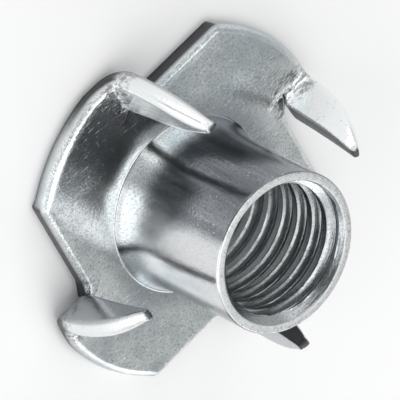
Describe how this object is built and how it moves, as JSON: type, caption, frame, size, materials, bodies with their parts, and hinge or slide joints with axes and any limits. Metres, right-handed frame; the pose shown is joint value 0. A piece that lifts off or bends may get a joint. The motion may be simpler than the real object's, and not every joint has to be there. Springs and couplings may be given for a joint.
{
  "type": "tee nut",
  "caption": "Tee nut of zinc-plated sheet steel: a threaded barrel drawn up from a flat flange whose slit prongs are bent up to bite into wood.",
  "frame": {"origin": "centre of the flange's flat underside", "axes": "+Z along the barrel to its mouth, X and Y along the slits where the prongs stand"},
  "size_m": [0.0198, 0.0198, 0.0095],
  "materials": {
    "zinc_plate": "bright zinc plating on drawn and sheared sheet steel"
  },
  "bodies": {
    "root": {"tee_nut": "zinc_plate"}
  },
  "joints": []
}
